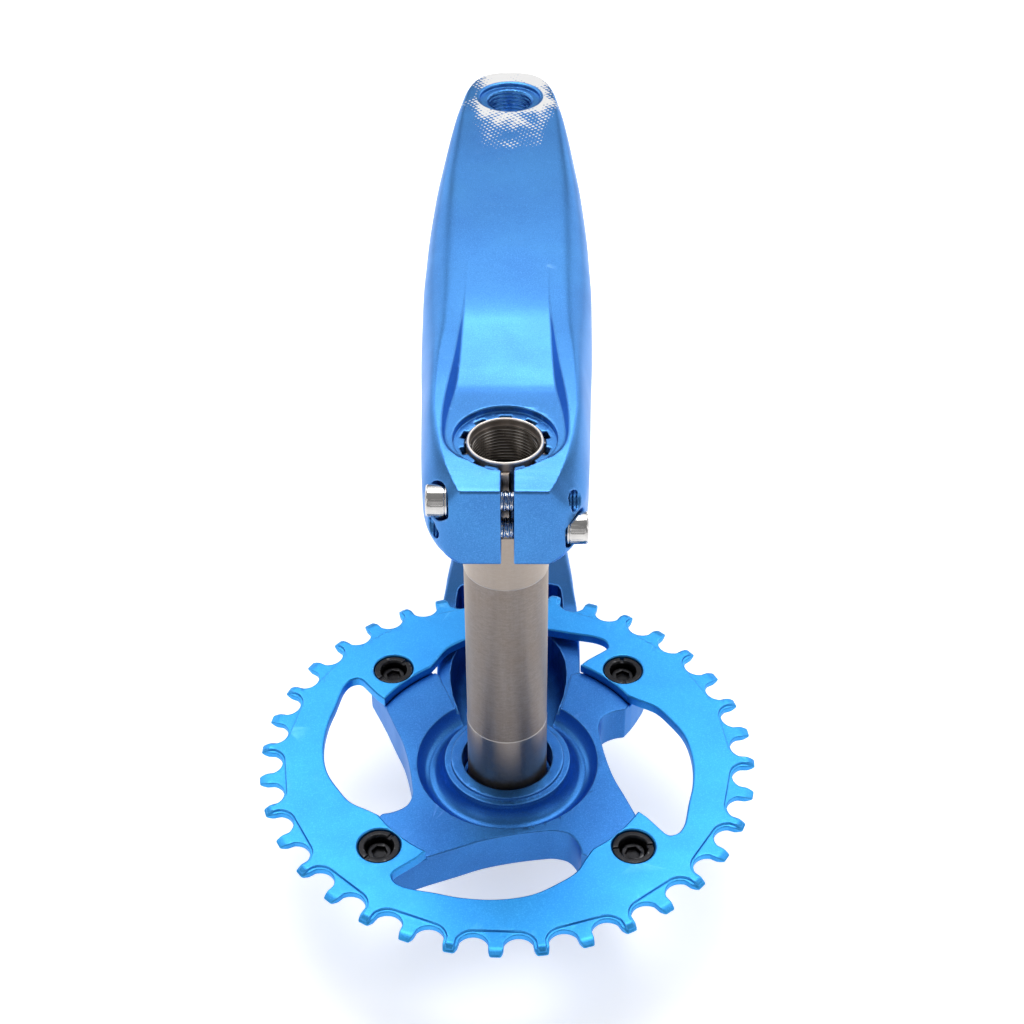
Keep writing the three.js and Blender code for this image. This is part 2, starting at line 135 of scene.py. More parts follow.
class Outline:
    """Signed distance to a closed outline, negative inside, read from a fine table."""

    def __init__(self, points, step=0.25, pad=4.0, box=None):
        p = np.array(points, float)
        if box is None:
            lo, hi = p.min(0) - pad, p.max(0) + pad
        else:
            lo, hi = np.array(box[0], float), np.array(box[1], float)
        n = np.ceil((hi - lo) / step).astype(int) + 1
        gx = lo[0] + np.arange(n[0]) * step
        gy = lo[1] + np.arange(n[1]) * step
        X, Y = np.meshgrid(gx.astype(F), gy.astype(F), indexing="ij")
        best = np.full(X.shape, 1e9, F)
        inside = np.zeros(X.shape, bool)
        q = np.roll(p, -1, axis=0)
        for (ax, ay), (bx, by) in zip(p, q):
            dx, dy = bx - ax, by - ay
            ll = dx * dx + dy * dy
            if ll < 1e-10:
                continue
            px, py = X - F(ax), Y - F(ay)
            t = np.clip((px * F(dx) + py * F(dy)) / F(ll), 0, 1)
            ex, ey = px - t * F(dx), py - t * F(dy)
            best = np.minimum(best, ex * ex + ey * ey)
            if ay != by:
                cond = (Y >= F(min(ay, by))) & (Y < F(max(ay, by)))
                xi = F(ax) + (Y - F(ay)) * F(dx / dy)
                inside ^= cond & (X < xi)
        d = np.sqrt(best)
        self.t = np.where(inside, -d, d).astype(F)
        self.lo, self.step, self.n = lo, step, n

    def __call__(self, x, y):
        u = (x - F(self.lo[0])) / F(self.step)
        v = (y - F(self.lo[1])) / F(self.step)
        uc = np.clip(u, 0, self.n[0] - 1.001)
        vc = np.clip(v, 0, self.n[1] - 1.001)
        i = uc.astype(np.int32)
        j = vc.astype(np.int32)
        a = uc - i
        b = vc - j
        t = self.t
        d = (t[i, j] * (1 - a) + t[i + 1, j] * a) * (1 - b) + (
            t[i, j + 1] * (1 - a) + t[i + 1, j + 1] * a
        ) * b
        out = np.sqrt((u - uc) ** 2 + (v - vc) ** 2) * F(self.step)
        return d + out


# ----------------------------------------------------------- field to a mesh
def sampled(field, pts):
    out = np.empty(len(pts), F)
    for s in range(0, len(pts), 400000):
        q = pts[s : s + 400000]
        out[s : s + 400000] = field(q[:, 0], q[:, 1], q[:, 2])
    return out


def field_mesh(field, lo, hi, h):
    """Closed quad mesh of field = 0 by surface nets, then moved onto the surface."""
    lo = np.array(lo, float)
    hi = np.array(hi, float)
    n = np.ceil((hi - lo) / h).astype(int) + 1
    B = 6
    nb = (n + B - 1) // B
    n = nb * B + 1
    axes = [(lo[k] + np.arange(n[k]) * h).astype(F) for k in range(3)]
    bc = [lo[k] + (np.arange(nb[k]) + 0.5) * B * h for k in range(3)]
    g = np.stack(np.meshgrid(*bc, indexing="ij"), -1).reshape(-1, 3).astype(F)
    v = sampled(field, g)
    reach = B * h * 0.5 * math.sqrt(3) * 1.6 + 0.6
    active = (np.abs(v) <= reach).reshape(nb)
    V = np.empty(n, F)
    big = np.where(v < 0, -1.0, 1.0).astype(F).reshape(nb)
    up = np.repeat(np.repeat(np.repeat(big, B, 0), B, 1), B, 2)
    V[:-1, :-1, :-1] = up
    V[-1], V[:, -1], V[:, :, -1] = 1, 1, 1
    near = np.zeros(n, bool)
    ai = np.argwhere(active)
    off = np.stack(np.meshgrid(*[np.arange(B + 1)] * 3, indexing="ij"), -1).reshape(-1, 3)
    for s in range(0, len(ai), 20000):
        q = (ai[s : s + 20000, None, :] * B + off[None]).reshape(-1, 3)
        near[q[:, 0], q[:, 1], q[:, 2]] = True
    idx = np.argwhere(near)
    pts = np.stack([axes[k][idx[:, k]] for k in range(3)], -1)
    V[near] = sampled(field, pts)
    V[0], V[:, 0], V[:, :, 0] = (
        np.maximum(V[0], 0.01),
        np.maximum(V[:, 0], 0.01),
        np.maximum(V[:, :, 0], 0.01),
    )
    S = V < 0
    c = [
        S[i : n[0] - 1 + i, j : n[1] - 1 + j, k : n[2] - 1 + k]
        for i in (0, 1)
        for j in (0, 1)
        for k in (0, 1)
    ]
    some = c[0].copy()
    every = c[0].copy()
    for a in c[1:]:
        some |= a
        every &= a
    cell = some & ~every
    ci = np.argwhere(cell)
    number = np.full(cell.shape, -1, np.int32)
    number[cell] = np.arange(len(ci))
    corner = [
        V[ci[:, 0] + i, ci[:, 1] + j, ci[:, 2] + k]
        for i in (0, 1)
        for j in (0, 1)
        for k in (0, 1)
    ]
    acc = np.zeros((len(ci), 3), F)
    cnt = np.zeros(len(ci), F)
    for a in range(8):
        for axis, bit in ((0, 4), (1, 2), (2, 1)):
            if a & bit:
                continue
            b = a | bit
            va, vb = corner[a], corner[b]
            cross = (va < 0) != (vb < 0)
            t = np.where(cross, va / np.where(cross, va - vb, 1), 0)
            base = np.array([(a >> 2) & 1, (a >> 1) & 1, a & 1], F)
            for k in range(3):
                acc[:, k] += np.where(cross, base[k] + (t if k == axis else 0), 0)
            cnt += cross
    verts = (ci + acc / cnt[:, None]) * h + lo
    verts = verts.astype(F)
    quads = []
    for axis in range(3):
        sl0 = [slice(1, n[k] - 1) for k in range(3)]
        sl1 = [slice(1, n[k] - 1) for k in range(3)]
        sl0[axis] = slice(0, n[axis] - 1)
        sl1[axis] = slice(1, n[axis])
        a, b = S[tuple(sl0)], S[tuple(sl1)]
        e = np.argwhere(a != b)
        first = a[e[:, 0], e[:, 1], e[:, 2]]
        e = e + np.array([0 if k == axis else 1 for k in range(3)])
        o1, o2 = (axis + 1) % 3, (axis + 2) % 3

        def at(d1, d2):
            w = e.copy()
            w[:, o1] += d1
            w[:, o2] += d2
            return number[w[:, 0], w[:, 1], w[:, 2]]

        q = np.stack([at(-1, -1), at(0, -1), at(0, 0), at(-1, 0)], -1)
        q[~first] = q[~first][:, ::-1]
        quads.append(q)
    quads = np.concatenate(quads)
    quads = quads[(quads >= 0).all(1)]
    eps = F(h * 0.25)
    for _ in range(3):
        f0 = sampled(field, verts)
        grad = np.empty_like(verts)
        for k in range(3):
            d = np.zeros(3, F)
            d[k] = eps
            grad[:, k] = (sampled(field, verts + d) - sampled(field, verts - d)) / (2 * eps)
        g2 = np.maximum((grad**2).sum(1), 0.05)
        step = (f0 / g2)[:, None] * grad
        length = np.linalg.norm(step, axis=1, keepdims=True)
        step *= np.minimum(1, 0.45 * h / np.maximum(length, 1e-9))
        verts = verts - step
    return verts, quads


def object_of(name, verts, faces, material, body, nodes, faces_wanted=None, smooth_angle=None):
    me = bpy.data.meshes.new(name)
    verts = np.asarray(verts, float) * MM
    if isinstance(faces, np.ndarray):
        me.vertices.add(len(verts))
        me.vertices.foreach_set("co", verts.astype(F).ravel())
        k = faces.shape[1]
        me.loops.add(faces.size)
        me.loops.foreach_set("vertex_index", faces.astype(np.int32).ravel())
        me.polygons.add(len(faces))
        me.polygons.foreach_set("loop_start", np.arange(0, faces.size, k, dtype=np.int32))
        me.update(calc_edges=True)
        me.validate()
    else:
        me.from_pydata([tuple(v) for v in verts], [], faces)
        me.validate()
    ob = bpy.data.objects.new(name, me)
    bpy.context.scene.collection.objects.link(ob)
    bpy.context.view_layer.objects.active = ob
    if faces_wanted:
        tris = sum(len(p.vertices) - 2 for p in me.polygons) if not isinstance(faces, np.ndarray) else len(faces) * (faces.shape[1] - 2)
        if tris > faces_wanted:
            m = ob.modifiers.new("decimate", "DECIMATE")
            m.ratio = faces_wanted / tris
            dg = bpy.context.evaluated_depsgraph_get()
            new = bpy.data.meshes.new_from_object(ob.evaluated_get(dg))
            ob.modifiers.clear()
            ob.data = new
            bpy.data.meshes.remove(me)
            me = new
            me.name = name
    me.shade_smooth()
    if smooth_angle:
        me.set_sharp_from_angle(angle=math.radians(smooth_angle))
    w = ob.modifiers.new("normals", "WEIGHTED_NORMAL")
    w.mode = "FACE_AREA"
    w.weight = 50
    w.keep_sharp = True
    me.materials.clear()
    me.materials.append(material)
    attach(ob, body)
    if nodes:
        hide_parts(*nodes)
    return ob


def lofted(rings, caps=(False, False), ring_closed=True):
    """Faces joining rings of points; caps closes an end with a fan."""
    n = len(rings[0])
    verts = np.concatenate([np.asarray(r, float) for r in rings])
    faces = []
    idx = np.arange(n)
    nxt = (idx + 1) % n
    for k in range(len(rings) - 1):
        a, b = k * n, (k + 1) * n
        faces.append(np.stack([a + idx, a + nxt, b + nxt, b + idx], -1))
    faces = [tuple(int(v) for v in q) for f in faces for q in f]
    extra = []
    if caps[0]:
        c = verts[:n].mean(0)
        extra.append(c)
        ci = len(verts) + len(extra) - 1
        faces += [(ci, int(nxt[i]), int(idx[i])) for i in range(n)]
    if caps[1]:
        base = (len(rings) - 1) * n
        c = verts[base : base + n].mean(0)
        extra.append(c)
        ci = len(verts) + len(extra) - 1
        faces += [(ci, int(base + idx[i]), int(base + nxt[i])) for i in range(n)]
    if extra:
        verts = np.concatenate([verts, np.array(extra)])
    return verts, faces


# ------------------------------------------------------------------ the arms
OUTER = table([(-30, 71.1), (-22, 72.0), (-12, 73.4), (-5, 74.3), (2, 75.15), (10, 76.2), (23, 77.7), (37, 78.9), (52, 80.0), (70, 81.6), (90, 83.3), (130, 85.9), (155, 87.15), (162, 87.4), (192, 87.4)])
FLAT = table([(-22, 11.4), (-17, 13.6), (-6, 16.6), (3, 18.0), (14, 18.8), (30, 18.2), (50, 16.2), (80, 15.2), (120, 15.2), (150, 14.4), (170, 13.6), (180, 11.6), (186, 7.8), (189, 2.6)])
DROP = table([(-22, 6.2), (-17, 8.6), (-12, 9.3), (0, 9.2), (20, 9.0), (60, 7.0), (100, 5.0), (140, 3.2), (170, 1.8), (189, 1.4)])
HALF_ROWS = [(-22, 12.6), (-21.4, 14.5), (-20.4, 16.2), (-18.8, 17.7), (-16.5, 19.0), (-13, 20.5), (-9, 21.6), (-5, 22.2), (5, 22.8), (28, 23.6), (41, 24.2), (61, 24.6), (72, 24.7), (83, 24.4), (95, 24.0), (107, 23.3), (119, 22.4), (132, 21.0), (146, 19.4), (160, 17.6), (170, 16.0), (176, 14.9), (181, 13.3), (185, 10.9), (187.5, 7.4), (188.8, 3.4)]
HALF = table(HALF_ROWS)
INBOARD_L = table([(-22, 47.6), (17, 48), (24, 50.2), (70, 54.0), (110, 61.5), (150, 70.5), (159, 74), (189, 74)])
INBOARD_R = table([(-22, 57), (16, 57), (26, 51.6), (72, 51.6), (80, 52.8), (110, 60.0), (150, 70.5), (159, 74), (189, 74)])
NARROWING = table([(-22, 0.96), (20, 0.96), (52, 0.955), (85, 0.905), (120, 0.9), (165, 1), (189, 1)])
PEDAL_Y = 170.0


def plan_points(k=None, heel=None):
    side = [(h * (k(np.array(y)) if k else 1), y) for y, h in HALF_ROWS]
    side = [(float(a), b) for a, b in side]
    if heel:
        side = [p for p in side if p[1] > 4]
        s = spline(side, 6, closed=False)
        low = arc(0, 2, 22.0, -8, -172, 40)
        return s[::-1] + [] if False else s + [(-x, y) for x, y in reversed(s)] + arc(0, 2, heel, 188, 352, 60)
    s = spline(side, 6, closed=False)
    return s + [(-x, y) for x, y in reversed(s)]


PLAN_L = Outline(plan_points())
PLAN_R = Outline(plan_points(NARROWING, 21.6))
# foot of the walls round the sunk panel and the land beside the spindle's recess
_w = [(12.0, 95), (12.0, 80), (12.0, 66), (12.1, 56.0), (12.3, 50), (12.5, 44), (12.8, 34), (13.3, 25), (13.7, 21), (14.7, 14.5), (15.5, 8.6), (15.85, 4), (15.9, 0), (15.4, -3.2), (14.2, -6), (12.2, -8.4)]
PANEL = Outline(spline(_w, 4, closed=False) + [(9, -10.2), (0, -12.5), (-9, -10.2)] + [(-x, y) for x, y in reversed(spline(_w, 4, closed=False))])
LAND = table([(-30, 73.1), (-10, 73.2), (10, 73.5), (19, 73.72), (22, 73.95), (25, 74.45), (30, 75.45), (38, 76.9), (46, 78.42), (50, 79.21), (54, 79.86), (58, 80.40), (62, 80.85), (66, 81.27), (72, 81.97), (80, 83.05), (90, 84.9)])
WALL = 1.9


def mirrored(side):
    return side + [(-x, y) for x, y in reversed(side)]


POCKET_L = Outline(mirrored([(16.5, 22), (18.2, 28), (19.4, 34), (20.4, 52), (20.6, 70), (20.0, 84), (18.4, 92), (14.6, 97)]))
# the right arm's front pocket, open to the dish, and the square one behind it
POCKET_R = Outline(mirrored([(3, 20.9), (8, 19.6), (11.4, 17.6), (12.6, 17.0), (13.6, 18.4), (15.6, 23.5), (17.5, 30), (18.5, 36.5), (18.7, 41), (18.2, 46.5), (16.6, 52), (14.2, 56.6), (10.5, 60.6), (5.5, 63)]))
POCKET_B = Outline(mirrored([(14.4, 69), (16.8, 70), (18.0, 72.4), (17.9, 78), (17.5, 83.6), (16.6, 86), (14.4, 87)]))
# the spider stands proud of the arm except in this wedge along the arm
WEDGE = Outline([(-25.6, 46), (-23.0, 39.4), (-17.0, 23.4), (-12, 10), (12, 10), (17.0, 23.4), (20.5, 39.1), (22.6, 46)])


def blank(x, y, z, plan, inboard, k=None, round_in=F(2.2)):
    """The forged arm before machining, outboard side towards +z."""
    half = HALF(y) * k if k is not None else HALF(y)
    flat = np.minimum(FLAT(y) * (k if k is not None else 1), half - 0.5)
    t = np.clip((np.abs(x) - flat) / (half - flat), 0, 1.25)
    p = F(2.14) - F(1.06) * np.clip((F(10) - y) / 26, 0, 1)
    top = OUTER(y) - DROP(y) * np.maximum(t, F(1e-6)) ** p
    ease = 1.8 + 1.6 * np.clip((150 - y) / 40, 0, 1) - 2.5 * np.clip((-12 - y) / 5, 0, 1)
    f = smax((z - top) * F(0.88), plan(x, y), ease.astype(F))
    return smax(f, inboard - z, round_in)


def thread(x, y, z, r, depth, pitch, hand=1):
    a = np.arctan2(y, x) / F(2 * math.pi)
    ph = (z / F(pitch) + hand * a) % 1
    return r + depth * (1 - 2 * np.abs(ph - F(0.5)))


def pedal_bore(x, y, z, hand):
    yy = y - F(PEDAL_Y)
    r = np.hypot(x, yy)
    hole = r - thread(x, yy, z, F(6.75), F(0.62), 1.27, hand)
    chamfer_a = r - (F(7.5) + (z - F(85.6)))
    seat = smax(r - F(10), F(85.9) - z, F(0.4))
    rim = r - (F(10.0) + (z - F(86.95)))
    rim = np.maximum(rim, F(86.0) - z)
    inner = r - (F(7.5) + (F(74.5) - z))
    hole = np.minimum(hole, np.maximum(chamfer_a, F(84.4) - z))
    hole = np.minimum(hole, np.maximum(inner, z - F(75.6)))
    return np.minimum(np.minimum(hole, seat), rim)


def left_field(x, y, z):
    f = blank(x, y, z, PLAN_L, INBOARD_L(y), None, F(2.2) - np.clip((F(12) - y) / F(10), 0, 1) * (F(1.4) - F(5.0) * np.clip((np.abs(x) - F(11.5)) / F(5), 0, 1)))
    ax = np.abs(x)
    r = np.hypot(x, y)
    # sunk centre panel, its drafted walls and the land round the recess
    d = PANEL(x, y)
    rise = F(WALL) * F(0.5) * (d + np.sqrt(d * d + F(0.03)))
    void = (LAND(y) + rise - z) * F(0.6)
    f = carve(f, np.maximum(void, y - F(88)), F(0.45))
    # recess, splines and the clearance over the journal's end
    f = carve(f, smax(r - F(13.85), F(71.5) - z, F(0.25)), F(0.3))
    a = np.arctan2(y, x)
    st = F(math.pi / 5)
    la = (a - F(math.pi / 2) + st / 2) % st - st / 2
    key = smax(np.abs(r * np.sin(la)) - F(1.6), r * np.cos(la) - F(12.15), F(0.25))
    bore = smin(r - F(10.78), key, F(0.2))
    f = carve(f, bore, F(0.22))
    f = carve(f, smax(r - F(12.35), z - F(49.6), F(0.3)), F(0.5))
    # slot
    f = carve(f, smax(np.abs(x - F(0.7)) - F(1.7), y + 9, F(0.3)), F(0.35))
    # pinch bolt holes and head seats
    for zc, s in ((64.7, -1), (55.7, 1)):
        rr = np.hypot(y + F(16.2), z - F(zc))
        ph = (x % 1.0)
        th = F(2.72) + F(0.28) * (1 - 2 * np.abs(ph - F(0.5)))
        f = carve(f, rr - th, F(0.2))
        sx = (x - F(0.7)) * F(s)
        f = carve(f, smax(rr - F(5.2), F(15.2) - sx, F(0.4)), F(0.4))
    f = carve(f, smax(POCKET_L(x, y), z - F(71.2), F(4)), F(1.2))
    return carve(f, pedal_bore(x, y, z, -1), F(0.5))


BOLT_C = 52.0
_b = BOLT_C / math.sqrt(2)
WINDOW = [(-38.6, 22.7), (-35.4, 14.6), (-32.3, 6.9), (-30.0, -2.2), (-28.7, -10.2), (-28.4, -14.2), (-29.7, -18.3), (-33.4, -20.9), (-37.9, -22.0)]


def spider_points():
    win = [(-38.6, 22.7)] + spline(WINDOW[1:], 5, closed=False)
    tab = [(-39.2, -24.8), (-41.4, -28.6), (-43.4, -32.6)] + arc(-_b, -_b, 7.6, 165, 285, 20) + [(-28.0, -40.9)]
    quarter = tab + [rotated(p, 90) for p in win][:-1]
    return [rotated(p, 90 * i) for i in range(4) for p in quarter]


SPIDER = Outline(spider_points(), pad=8)
DISH = table([(18.6, -48.6), (19.35, -49.5), (20.0, -51.3), (21.2, -53.0), (22.4, -53.9), (23.7, -54.2), (25.0, -53.7), (26.3, -52.3), (27.2, -50.6), (27.7, -49.3), (28.2, -47)])


def right_field(x, y, z):
    k = NARROWING(y)
    f = blank(x, y, -z, PLAN_R, INBOARD_R(y), k, F(0.8) + F(1.4) * np.clip((y - F(75)) / F(30), 0, 1))
    r = np.hypot(x, y)
    sp = SPIDER(x, y)
    # the spider's arms thin a little towards the outboard side
    body = carve(sp, np.maximum(WEDGE(x, y), F(27.0) - r), F(0.3))
    tabs = smax(smax(body, z - F(-50.3), F(0.5)), F(-63) - z, F(1.6))
    core = smax(smax(body, z - F(-49.5), F(0.5)), F(-63) - z, F(1.6))
    core = smax(core, r - F(44.9), F(0.3))
    spider = np.minimum(tabs, core)
    f = smin(f, spider, F(0.5))
    f = smin(f, smax(smax(r - F(19.35), z + F(48.75), F(0.3)), F(-60) - z, F(0.5)), F(0.3))
    f = smin(f, smax(smax(r - F(17.2), z + F(48.0), F(0.25)), F(-60) - z, F(0.5)), F(0.1))
    # dished ring round the boss
    void = smax((DISH(r) - z) * F(0.7), F(19.2) - r, F(0.3))
    void = smax(void, z + F(44), F(0.1))
    f = carve(f, void, F(0.3))
    # pocket, open to the dish
    f = carve(f, smax(POCKET_R(x, y) - F(0.02) * (z + F(54)), F(-67.5) - z, F(7)), F(0.45))
    f = carve(f, smax(POCKET_B(x, y), F(-67.0) - z, F(4)), F(0.6))
    # bores
    f = carve(f, smax(r - F(13.7), F(-56) - z, F(0.4)), F(0.3))
    f = carve(f, r - F(12.3), F(0.3))
    f = carve(f, smax(r - F(15), z + F(71.3), F(0.4)), F(0.8))
    # chainring bolt holes and head seats, four times round
    xx, yy = np.abs(x), np.abs(y)
    rb = np.hypot(xx - F(_b), yy - F(_b))
    f = carve(f, rb - F(5.2), F(0.5))
    f = carve(f, smax(rb - F(7), z + F(58.3), F(0.4)), F(0.6))
    return carve(f, pedal_bore(x, y, -z, 1), F(0.5))


# ----------------------------------------------------------------- chainring
TEETH = 36
PITCH_R = 12.7 / (2 * math.sin(math.pi / TEETH))
RING_Z = -48.2


def seat(i, r, side, reach, n):
    """Half a roller seat; i counts teeth from a wide tooth at +X."""
    a = 10.0 * (i + 0.5)
    cx, cy = rotated((PITCH_R, 0), a)
    return arc(cx, cy, r, a + 180, a + 180 - side * reach, n)


def crown(i, widths):
    a = 10.0 * i
    up = [rotated((r, -h), a) for r, h in widths]
    return up + [rotated((r, h), a) for r, h in reversed(widths)]


def tooth_points():
    out = []
    for i in range(-4, 5):
        w = [(73.0, 2.12), (74.2, 1.86), (75.0, 1.62), (75.2, 1.30)] if i % 2 else [(73.0, 2.12), (74.2, 1.86), (74.95, 1.62), (75.2, 1.25)]
        out += crown(i, w)
        out += seat(i, 4.5, -1, 62, 10)[::-1]
        out += seat(i, 4.5, 1, 62, 10)[1:]
    return out + [rotated((60, 0), 50), rotated((60, 0), 25), (60, 0), rotated((60, 0), -25), rotated((60, 0), -50)]


def web_points():
    out = []
    for i in (-4, -2, 0, 2, 4):
        if i > -4:
            out += seat(i - 1, 5.35, 1, 70, 10)
        out += crown(i, [(73.9, 1.25), (74.6, 1.0)])
        if i < 4:
            out += seat(i, 5.35, -1, 70, 10)[::-1]
    return out + [rotated((60, 0), 50), rotated((60, 0), 25), (60, 0), rotated((60, 0), -25), rotated((60, 0), -50)]


TOOTH = Outline(tooth_points(), step=0.12, box=((62, -22), (79, 22)))
WEB = Outline(web_points(), step=0.12, box=((62, -22), (79, 22)))
INNER_Q = arc(0, 0, 45.2, 213.5, 239.3, 14) + spline([(-24.2, -40.4), (-27.9, -43.3), (-31.6, -46.2)], 3, closed=False)[1:] + spline([(-31.6, -46.2), (-32.4, -47.6), (-31.6, -50.0), (-28.75, -51.9), (-20, -53.9), (-12.5, -55.6), (-2.5, -56.2), (7.5, -54.4), (15, -50.2), (20, -46.25), (23.1, -40.8)], 6, closed=False)[1:]
INNER = Outline([rotated(p, 90 * i) for i in range(4) for p in INNER_Q], pad=8)


def ring_field(x, y, z):
    r = np.hypot(x, y)
    az = np.abs(z - F(RING_Z))
    a = np.arctan2(y, x)
    st = F(math.radians(20))
    la = (a - F(math.radians(18)) + st / 2) % st - st / 2
    px, py = r * np.cos(la), r * np.sin(la)
    near = r > 63
    tooth = np.where(near, TOOTH(px, py), F(-8))
    web = np.where(near, WEB(px, py), F(-8))
    wide = smax(web, az - F(1.8), F(0.2))
    # the wide tooth is chamfered towards its tip and its ends
    wide = smax(wide, (az - F(1.8)) * F(0.86) + (r - F(73.2)) * F(0.5), F(0.3))
    narrow = smax(tooth, az - F(1.05), F(0.4))
    narrow = smax(narrow, (az - F(1.05)) * F(0.93) + (r - F(73.1)) * F(0.36), F(0.3))
    f = smin(wide, narrow, F(0.25))
    inner = INNER(x, y)
    cham = (az - F(1.8)) + (-inner) - F(-0.42)
    f = smax(f, -inner, F(0.15))
    f = smax(f, cham * F(0.7), F(0.12))
    xx, yy = np.abs(x), np.abs(y)
    rb = np.hypot(xx - F(_b), yy - F(_b))
    f = carve(f, rb - F(5.2), F(0.3))
    f = carve(f, smax(rb - F(6.35), F(-48.4) - z, F(0.3)), F(0.3))
    return carve(f, smax(rb - (F(6.35) + (z + F(46.75))), F(-47.5) - z, F(0.1)), F(0.15))


# ----------------------------------------------------------------- fasteners
def nut_field(x, y, z):
    """Sleeve nut at the origin in x and y; slot along x."""
    r = np.hypot(x, y)
    flange = smax(smax(r - F(6.05), z + F(46.9), F(0.4)), F(-48.1) - z, F(0.3))
    sleeve = smax(smax(r - F(4.9), z + F(47.2), F(0.3)), F(-57.6) - z, F(0.5))
    f = smin(flange, sleeve, F(0.4))
    dish = smax(r - (F(4.25) + (z + F(47.2)) * F(0.55)), F(-47.75) - z, F(0.5))
    f = carve(f, dish, F(0.25))
    f = carve(f, r - F(3.95), F(0.3))
    slot = smax(np.abs(y) - F(0.62), F(-47.55) - z, F(0.25))
    slot = smax(slot, F(3.5) - np.abs(x), F(0.1))
    return carve(f, slot, F(0.25))


def hexagon(x, y, flat):
    a = np.abs(x)
    b = np.abs(y)
    return np.maximum(a * F(0.8660254) + b * F(0.5), b) - F(flat)


def bolt_field(x, y, z):
    r = np.hypot(x, y)
    head = smax(smax(r - F(6.4), z + F(58.6), F(0.3)), F(-60.7) - z, F(0.9))
    shank = r - thread(x, y, z, F(3.35), F(0.4), 0.75)
    shank = smax(shank, z + F(49.2), F(0.5))
    shank = smax(shank, F(-59.6) - z, F(0.2))
    f = smin(head, shank, F(0.4))
    f = carve(f, smax(hexagon(x, y, 2.5), z + F(58.4), F(0.2)), F(0.3))
    f = carve(f, smax(r - (F(2.4) + (F(-60.1) - z)), z + F(59.6), F(0.1)), F(0.2))
    return carve(f, smax(hexagon(x, y, 2.0), F(-50.6) - z, F(0.2)), F(0.3))


def pinch_field(x, y, z):
    """Socket-head bolt along +x from its seat at 0.3: head to 6.1, shank to -25.2."""
    r = np.hypot(y, z)
    a = np.arctan2(z, y)
    knurl = F(0.04) * np.abs(np.sin(a * 18)) * np.clip((x - F(1.3)) * 3, 0, 1) * np.clip((F(4.9) - x) * 3, 0, 1)
    head = smax(smax(r - (F(4.38) - F(0.04) + knurl), F(0.32) - x, F(0.4)), x - F(6.08), F(0.9))
    groove = np.abs(x - F(1.0)) - F(0.12)
    head = carve(head, smax(groove, F(4.1) - r, F(0.1)), F(0.2))
    ph = (x / F(1.0) + a / F(2 * math.pi)) % 1
    shank = r - (F(2.45) + F(0.4) * (1 - 2 * np.abs(ph - F(0.5))))
    shank = smax(shank, F(-25.1) - x, F(0.8))
    shank = smax(shank, x - F(1.0), F(0.2))
    f = smin(head, shank, F(0.5))
    f = carve(f, smax(hexagon(y, z, 2.5), F(2.6) - x, F(0.3)), F(0.3))
    return carve(f, smax(r - (F(2.6) + (x - F(5.5))), F(5.2) - x, F(0.1)), F(0.2))


def spindle_rings():
    n = 216
    th = np.arange(n) * 2 * math.pi / n
    rings = []

    def ring(r, z):
        r = np.broadcast_to(r, th.shape)
        z = np.broadcast_to(z, th.shape)
        rings.append(np.stack([r * np.cos(th), r * np.sin(th), z], -1))

    st = math.pi / 5
    la = (th - math.pi / 2 + st / 2) % st - st / 2
    w = np.clip((1.42 - np.abs(11.1 * np.sin(la))) / 0.34, 0, 1)
    w = w * w * (3 - 2 * w)

    def spl(tip, root):
        return root + (tip - root) * w

    for r, z in ((9.5, -70.45), (10.4, -70.5), (11.4, -70.5), (11.75, -70.4), (11.95, -70.1), (12.0, -69.8), (12.0, -60), (12.0, -50), (12.0, -44), (12.0, -38), (12.0, -32), (12.0, -29.95), (11.97, -29.85), (11.9, -29.7), (11.88, -29.55), (11.88, -20), (11.88, -10), (11.88, 0), (11.88, 10), (11.88, 20), (11.88, 29.55), (11.9, 29.7), (11.97, 29.85), (12.0, 29.95), (12.0, 34), (12.0, 40), (12.0, 46), (12.0, 47.9), (11.93, 48.2), (11.7, 48.45)):
        ring(r, z)
    for k in range(6):
        u = k / 5
        e = u * u * (3 - 2 * u)
        ring((1 - e) * 11.66 + e * spl(11.7, 10.55), 48.5 + 1.6 * u)
    for z in (52, 55, 58, 61, 64, 66, 68, 69.2):
        ring(spl(11.7, 10.55), z)
    ring(spl(11.6, 10.5), 69.5)
    ring(spl(11.3, 10.42), 69.68)
    ring(10.36, 69.75)
    ring(10.32, 70.4)
    for r, z in ((10.3, 71.5), (10.3, 71.9), (10.22, 72.2), (10.02, 72.36), (9.9, 72.4), (9.72, 72.36), (9.62, 72.25), (9.55, 71.9), (9.52, 71.2), (9.5, 70.5), (9.42, 70.25), (9.2, 70.05)):
        ring(r, z)
    pitch = 1.0
    steps = 7
    z0, z1 = 70.0, 58.6
    m = int((z0 - z1) / pitch * steps)
    for k in range(m):
        z = z0 - (z0 - z1) * (k + 0.5) / m
        ph = (z / pitch - th / (2 * math.pi)) % 1
        deep = (1 - 2 * np.abs(ph - 0.5)) * 0.46
        fade = min(1.0, (z - z1) / 0.8, (z0 - z) / 0.6 + 0.15)
        ring(9.12 - 0.46 * fade + deep * fade, z)
    for r, z in ((9.1, 58.3), (9.1, 40), (9.1, 20), (9.1, 0), (9.1, -20), (9.1, -40), (9.1, -60), (9.1, -69.6), (9.2, -70.2)):
        ring(r, z)
    rings.append(rings[0])
    return rings


